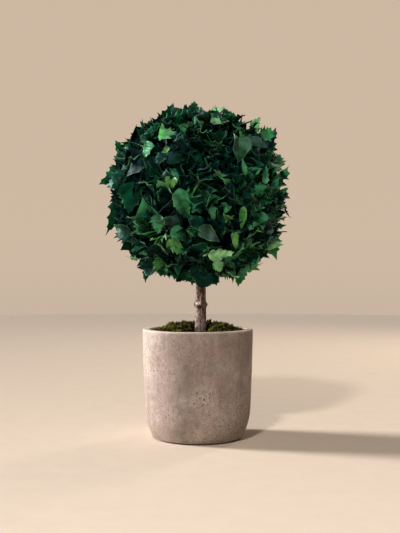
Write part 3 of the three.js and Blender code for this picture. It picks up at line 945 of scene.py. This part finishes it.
def grown_leaf(sprig, turn, rng, layer):
    """A leaf by the CAD's rule: it forks off its sprig, droops low on the ball and turns all ways above."""
    inner = layer == "inner"
    on_left = 0.5 - 0.5 * sprig[0]
    side, down = ball_axes(sprig)
    spread = rng.uniform(*STALK_SPREAD) / STALK_REACH
    out = unit(sprig + down * spread * cos(turn) + side * spread * sin(turn))
    side, down = ball_axes(out)
    droop = min(max(0.55 - 0.5 * out[2], 0.15), 1.0)
    heading = turn * (1.02 - 0.6 * droop) + rng.uniform(-0.4, 0.4)
    upright = rng.random() < 0.56 + 0.28 * sprig[0] or layer == "young"
    stance = "upright" if upright else "flat"
    lift = radians(rng.uniform(*LEAF_LIFTS["inner" if inner else stance]))
    flat = down * cos(heading) + side * sin(heading)
    towards = unit(flat * cos(lift) + out * sin(lift))
    roll = rng.normal(0, INNER_TURN if inner else OUTER_TURN)
    length = rng.uniform(24 + 12 * on_left, 38 + 19 * on_left)
    if layer == "young":
        length *= YOUNG_SIZE
    tip = ball_surface(out) * rng.uniform(*LEAF_TIPS[stance])
    far = rng.uniform(*INNER_FEET) if inner else max(tip - length * sin(lift) - 2, CORE_RADIUS)
    width = length * rng.uniform(0.5 + 0.15 * on_left, 0.85 + 0.1 * on_left)
    return made_leaf("grown", sprig, BALL + out * far, towards, out, roll, length, width, rng)


# The tips that make the ball's outline from the front: degrees round it from the right side, how far the tip
# reaches, and how far round from it the leaf's foot lies
TIPS = [
    (174, 151, -15),
    (203, 154, -17),
    (238, 154, -10),
    (147, 151, 8),
    (106, 143, 10),
    (93, 141, 2),
    (75, 137, -12),
    (41, 151, -8),
    (18, 141, -12),
    (346, 141, 12),
    (320, 151, 14),
    (293, 149, 10),
    (271, 140, 9),
]


def outline_way(degrees, rng):
    """A way out from the ball that lies close to its outline."""
    turn = radians(degrees)
    return unit(np.array([cos(turn), 0.1 * rng.uniform(-0.5, 0.5), sin(turn)]))


def tip_leaf(entry, rng):
    degrees, reach, swing = entry
    out = outline_way(degrees + swing, rng)
    foot = BALL + out * rng.uniform(108, 116)
    along = BALL + outline_way(degrees, rng) * reach - foot
    length = np.linalg.norm(along)
    roll = rng.uniform(0.5, 1.7)
    width = rng.uniform(24, 32)
    return made_leaf("tip", out, foot, along / length, out, roll, length, width, rng)


# Leaves that stand out in the photograph: degrees round the ball from the front and up it, how far out their
# middle lies, the way the tip points as seen from the front in degrees clockwise from up, length, width as a
# share of it, shape and tone
MARKED = [
    (-25, 37, 129, 100, 31, 0.72, "spiny", "bright"),
    (-51, 45, 127, 285, 24, 0.7, "toothed", "forest"),
    (-39, 25, 134, 215, 27, 0.85, "spiny", "mid"),
    (20, 49, 134, 62, 30, 0.5, "toothed", "bright"),
    (-3, 61, 129, -5, 33, 0.6, "toothed", "deep"),
    (-29, 65, 129, -32, 30, 0.7, "spiny", "deep"),
    (29, 26, 129, 190, 40, 0.8, "smooth", "grey"),
    (54, 33, 129, 95, 33, 0.45, "smooth", "grey"),
    (-26, 24, 129, 240, 23, 0.4, "smooth", "lime"),
    (-47, 15, 129, 245, 44, 0.55, "smooth", "slate"),
    (-16, 19, 129, 100, 33, 0.55, "toothed", "slate"),
    (-49, -5, 131, 192, 46, 0.78, "toothed", "forest"),
    (-70, 7, 134, 262, 38, 0.8, "spiny", "forest"),
    (-18, 3, 129, 190, 19, 0.95, "toothed", "lime"),
    (-10, -12, 132, 166, 53, 0.45, "toothed", "mid"),
    (-29, -23, 130, 195, 30, 0.72, "toothed", "mid"),
    (-13, -30, 129, 115, 34, 0.6, "toothed", "mid"),
    (7, -29, 134, 127, 37, 0.56, "smooth", "grey"),
    (-19, -42, 130, 158, 43, 0.5, "toothed", "lime"),
    # Two leaves in the sunlit tone, which is painted light
    (19, -44, 134, 96, 39, 0.55, "toothed", "sunlit"),
    (26, -59, 129, 155, 34, 0.5, "toothed", "sunlit"),
    (-38, -43, 129, 200, 40, 0.85, "smooth", "plum"),
    (30, -20, 129, 180, 39, 0.28, "smooth", "lime"),
    (59, -21, 129, 82, 33, 0.7, "smooth", "grey"),
    (3, -69, 141, 182, 34, 1.0, "smooth", "deep"),
    (-12, -68, 140, 186, 30, 0.8, "toothed", "forest"),
    (25, -70, 140, 172, 28, 0.75, "toothed", "deep"),
    (-2, -62, 138, 180, 34, 0.8, "toothed", "deep"),
    (-59, -76, 129, 200, 30, 0.8, "toothed", "deep"),
    (64, -49, 140, 170, 26, 0.5, "toothed", "mid"),
    (-67, -24, 140, 262, 39, 0.7, "toothed", "slate"),
    (72, 40, 140, 45, 29, 0.8, "spiny", "mid"),
    (71, 24, 134, 50, 23, 0.6, "toothed", "grey"),
    (-63, 30, 134, 282, 27, 0.5, "spiny", "forest"),
    (28, -34, 132, 160, 30, 0.4, "toothed", "lime"),
    (8, -17, 132, 172, 24, 0.45, "toothed", "mid"),
    (29, 14, 132, -10, 28, 0.25, "toothed", "mid"),
    (46, 10, 134, 15, 30, 0.32, "spiny", "mid"),
]


def marked_leaf(entry, rng):
    around, up, far, heading, length, wide = entry[:6]
    a, b, h = (radians(v) for v in (around, up, heading))
    out = np.array([sin(a) * cos(b), -cos(a) * cos(b), sin(b)])
    towards = np.array([sin(h), 0.0, cos(h)])
    towards = unit(towards - out * out.dot(towards) * 0.75 + out * 0.12)
    front = unit(out * 0.6 + np.array([0.0, -0.8, 0.0]))
    foot = BALL + out * (far - 2) - towards * length / 2
    roll = rng.normal(0, MARKED_TURN)
    return made_leaf("marked", out, foot, towards, front, roll, length, length * wide, rng)


def stalk_points(start, end):
    """A thin three-sided stalk, a little thicker at its start."""
    along = unit(end - start)
    side = unit(np.cross(along, UP if abs(along[2]) < 0.9 else np.array([1.0, 0, 0])))
    other = np.cross(along, side)
    ring = [(side * cos(a) + other * sin(a)) * STALK_RADIUS for a in ring_angles(3)]
    points = [start + v * 1.3 for v in ring] + [end + v for v in ring]
    return np.array(points), ring_faces(2, 3) + [(2, 1, 0), (3, 4, 5)]


def tone_shares(out):
    """How likely each tone is on this side of the ball, with painted light low on the right in front and
    painted shade high on the left.
    """
    shares = {tone: TONES[tone][2] for tone in TONES}
    patch = noise.noise(Vector(out) * 3.1 + Vector((0, 0, 4)))
    for tone in SUNNY_TONES:
        shares[tone] *= max(0.15, 1 + 2.3 * SUNNY_WAY.dot(out) + 3 * patch)
    for tone in SHADY_TONES:
        shares[tone] *= max(0.3, 1 + SHADY_WAY.dot(out) - 2 * patch)
    total = sum(shares.values())
    return [share / total for share in shares.values()]


class Heap:
    """Leaves or stalks that are joined into one piece."""

    def __init__(self):
        self.points, self.faces, self.looks, self.size = [], [], [], 0

    def add(self, points, faces, looks):
        self.points.append(points)
        self.faces += [tuple(i + self.size for i in f) for f in faces]
        self.looks += looks
        self.size += len(points)

    def make(self, name, materials, sharp=None):
        points = np.concatenate(self.points)
        make_piece(name, points, self.faces, materials, self.looks, "foliage_ball", sharp)


class Foliage:
    """All leaves and stalks, in one heap for each tone. Shapes, places and tones have draws of their own."""

    def __init__(self):
        self.rng = np.random.default_rng(LEAF_SEED)
        self.tone_rng = np.random.default_rng(TONE_SEED)
        shape_rng = np.random.default_rng(SHAPE_SEED)
        self.shapes = {layer: make_shapes(*LAYERS[layer][1:], shape_rng) for layer in LAYERS}
        self.kind_shares = [kind[4] for kind in KINDS.values()]
        self.heaps = {tone: Heap() for tone in list(TONES) + ["inner"]}
        self.stalks = Heap()

    def pick(self, kind, layer="outer"):
        return self.shapes[layer][kind][self.rng.integers(SHAPES_PER_KIND)]

    def pick_tone(self, shares):
        return self.tone_rng.choice(list(TONES), p=shares)

    def put(self, leaf, shape, tone):
        # Some leaves get the painted rim highlight on margin and edge
        looks = shape.looks if self.tone_rng.random() < RIMMED_SHARE else shape.plain_looks
        self.heaps[tone].add(leaf_points(shape, leaf), shape.faces, looks)
        points, faces = stalk_points(leaf["fork"], leaf["foot"] + leaf["towards"] * 2)
        self.stalks.add(points, faces, [0] * len(faces))

    def put_tips(self):
        for entry in TIPS:
            kind = "spiny" if self.rng.random() < SPINY_TIP_SHARE else "toothed"
            leaf = tip_leaf(entry, self.rng)
            self.put(leaf, self.pick(kind), self.tone_rng.choice(TIP_TONES))

    def put_marked(self):
        leaves = [marked_leaf(entry, self.rng) for entry in MARKED]
        for leaf, (*_, kind, tone) in zip(leaves, MARKED):
            self.put(leaf, self.pick(kind), tone)
        self.marked_ways = np.array([leaf["way"] for leaf in leaves])
        self.marked_room = np.array([leaf["length"] for leaf in leaves]) * MARKED_ROOM / BALL_FACE

    def hides_marked(self, points):
        middle = unit(points.mean(axis=0) - BALL)
        apart = np.arccos(np.clip(self.marked_ways @ middle, -1, 1))
        return (apart < self.marked_room).any()

    def grow_leaf(self, layer, sprig, heading, shares, sprig_tone):
        """A leaf is drawn again until it fits and hides no marked leaf, or left out."""
        inner = layer == "inner"
        for _ in range(TRIES):
            turn = heading + self.rng.uniform(-0.4, 0.4)
            turn = atan2(sin(turn), cos(turn))
            leaf = grown_leaf(sprig, turn, self.rng, layer)
            shape = self.pick(self.rng.choice(list(KINDS), p=self.kind_shares), layer)
            points = leaf_points(shape, leaf)
            if leaf_fits(points) and (inner or not self.hides_marked(points)):
                same = self.tone_rng.random() < SAME_TONE_SHARE
                tone = sprig_tone if same else self.pick_tone(shares)
                self.put(leaf, shape, "inner" if inner else tone)
                return

    def grow(self, layer):
        """The sprigs of one layer. Young ones are commoner on the right."""
        sprigs = LAYERS[layer][0]
        for k in range(sprigs):
            sprig = sprig_direction(k, sprigs)
            if layer == "young" and self.rng.random() > 0.45 + 0.65 * sprig[0]:
                continue
            turned = self.rng.uniform(0, 2 * pi)
            shares = tone_shares(sprig)
            sprig_tone = self.pick_tone(shares)
            for j in range(LEAVES_PER_SPRIG):
                heading = turned + 2 * pi * j / LEAVES_PER_SPRIG
                self.grow_leaf(layer, sprig, heading, shares, sprig_tone)

    def make_pieces(self):
        for tone, heap in self.heaps.items():
            rgb, roughness = INNER_SHADE_TONE if tone == "inner" else TONES[tone][:2]
            materials = [leaf_look("leaf_" + tone, rgb, roughness)]
            # Paler underside, and margin and edge leaning pale as painted rim highlight; inner leaves keep
            # their own tone
            for part, (lean, share) in LEAF_PARTS.items():
                tint = [v + (w - v) * share * (tone != "inner") for v, w in zip(rgb, lean)]
                materials.append(leaf_look("leaf_%s_%s" % (tone, part), tint, roughness + 0.08))
            heap.make("leaves_" + tone, materials, 40)
        self.stalks.make("leaf_stalks", [leaf_look("leaf_stalk", (72, 88, 50), 0.6, 0.2)])


def make_leaves():
    foliage = Foliage()
    foliage.put_tips()
    foliage.put_marked()
    for layer in ("inner", "outer", "young"):
        foliage.grow(layer)
    foliage.make_pieces()


def make_core():
    """The mossy ball that the sprigs are pinned to, coloured near-black as painted shade, which only shows as
    darkness between the leaves.
    """
    points = []
    for j in range(1, CORE_RINGS):
        latitude = pi * (j / CORE_RINGS - 0.5)
        flat = cos(latitude)
        for a in ring_angles(CORE_SIDES):
            out = Vector((flat * cos(a), flat * sin(a), sin(latitude)))
            radius = CORE_FACE + 3.5 * noise.noise(out * 9) + 1.5 * noise.noise(out * 24)
            points.append(BALL + np.array(out) * radius)
    points += [BALL - UP * CORE_FACE, BALL + UP * CORE_FACE]
    faces = ring_faces(CORE_RINGS - 1, CORE_SIDES) + cap_faces(CORE_RINGS - 1, CORE_SIDES)
    # Moss painted near-black: painted shade between the leaves
    look = moss_look("core_moss_shade", (6, 12, 8), (11, 20, 13), (18, 30, 18))
    make_piece("core_ball", points, faces, [look], None, "foliage_ball")


# Studio


def make_stage_piece(name, profile_m, look):
    """A round sheet turned from a profile of [radius, height]."""
    points = [point for radius, z in profile_m for point in ring_points(radius, z, STAGE_SIDES)]
    faces = ring_faces(len(profile_m), STAGE_SIDES, spreading=True)
    piece = make_mesh(name, points, faces, [look])
    return piece


def make_floor():
    look = Look("floor_paint", (214, 200, 184), 0.9, 0.2)
    specks = look.clouds(30, 4, 0.6)
    look.show({"Base Color": look.tones(specks, [(0.3, (212, 198, 182)), (0.7, (216, 202, 186))])})
    make_stage_piece("floor", [(0.001, 0.0), (1.2, 0.0), (FLOOR_RADIUS_M, 0.0)], look.material)


def make_backdrop():
    """A round sweep that glows evenly, shows to the camera only and holds no light back."""
    look = Look("backdrop_glow", (0, 0, 0), 1.0, 0.0)
    glow = look.tones(look.height(BACKDROP_HEIGHT_M), [(0.0, FLOOR_FAR), (0.12, WALL_LOW), (0.6, WALL_HIGH)])
    look.show({"Emission Color": glow, "Emission Strength": 1.0})
    turns = np.linspace(0, pi / 2, 13)
    sweep = [(FLOOR_RADIUS_M + SWEEP_M * sin(a), SWEEP_M * (1 - cos(a))) for a in turns]
    top = (FLOOR_RADIUS_M + SWEEP_M, BACKDROP_HEIGHT_M)
    backdrop = make_stage_piece("backdrop", sweep + [top], look.material)
    backdrop.visible_shadow = False
    backdrop.visible_diffuse = False
    backdrop.visible_glossy = False


def make_lamp(name, kind, place_m, power, colour, **shape):
    """A light that is aimed at the plant."""
    data = bpy.data.lights.new(name, kind)
    data.energy = power
    data.color = colour
    for measure, value in shape.items():
        setattr(data, measure, value)
    lamp = new_object(name, data)
    lamp.location = place_m
    lamp.rotation_mode = "QUATERNION"
    lamp.rotation_quaternion = (Vector(LIGHT_AIM_M) - Vector(place_m)).to_track_quat("-Z", "Y")


def make_studio():
    make_floor()
    make_backdrop()
    make_lamp("key", "SUN", (-3.1, 0.72, 1.42), 6.3, (1.0, 0.965, 0.95), angle=radians(14))
    make_lamp("front_fill", "AREA", (-0.5, -1.6, 1.7), 28.5, (1.0, 0.955, 0.93), shape="DISK", size=0.2)
    make_lamp("right_rim", "AREA", (1.2, 1.6, 1.2), 11, (1.0, 0.86, 0.7), shape="DISK", size=0.4)
    world = bpy.data.worlds.new("studio")
    world.use_nodes = True
    glow = world.node_tree.nodes["Background"].inputs
    glow["Color"].default_value = WORLD_COLOUR
    glow["Strength"].default_value = WORLD_STRENGTH
    scene.world = world


def make_camera():
    """Level camera at the photograph's height and distance."""
    data = bpy.data.cameras.new("camera")
    data.sensor_width = CAMERA_SENSOR
    data.lens = CAMERA_LENS
    camera = new_object("camera", data)
    camera.location = CAMERA_PLACE_M
    camera.rotation_euler = (pi / 2, 0, 0)
    scene.camera = camera


make_camera()
make_studio()
make_pot()
make_stem()
make_moss_mound()
make_moss_tufts()
make_core()
make_leaves()

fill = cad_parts["planting_fill"]
fill.data.materials.clear()
fill.data.materials.append(soil_look())

scene.view_settings.view_transform = "Standard"
scene.view_settings.gamma = PICTURE_GAMMA
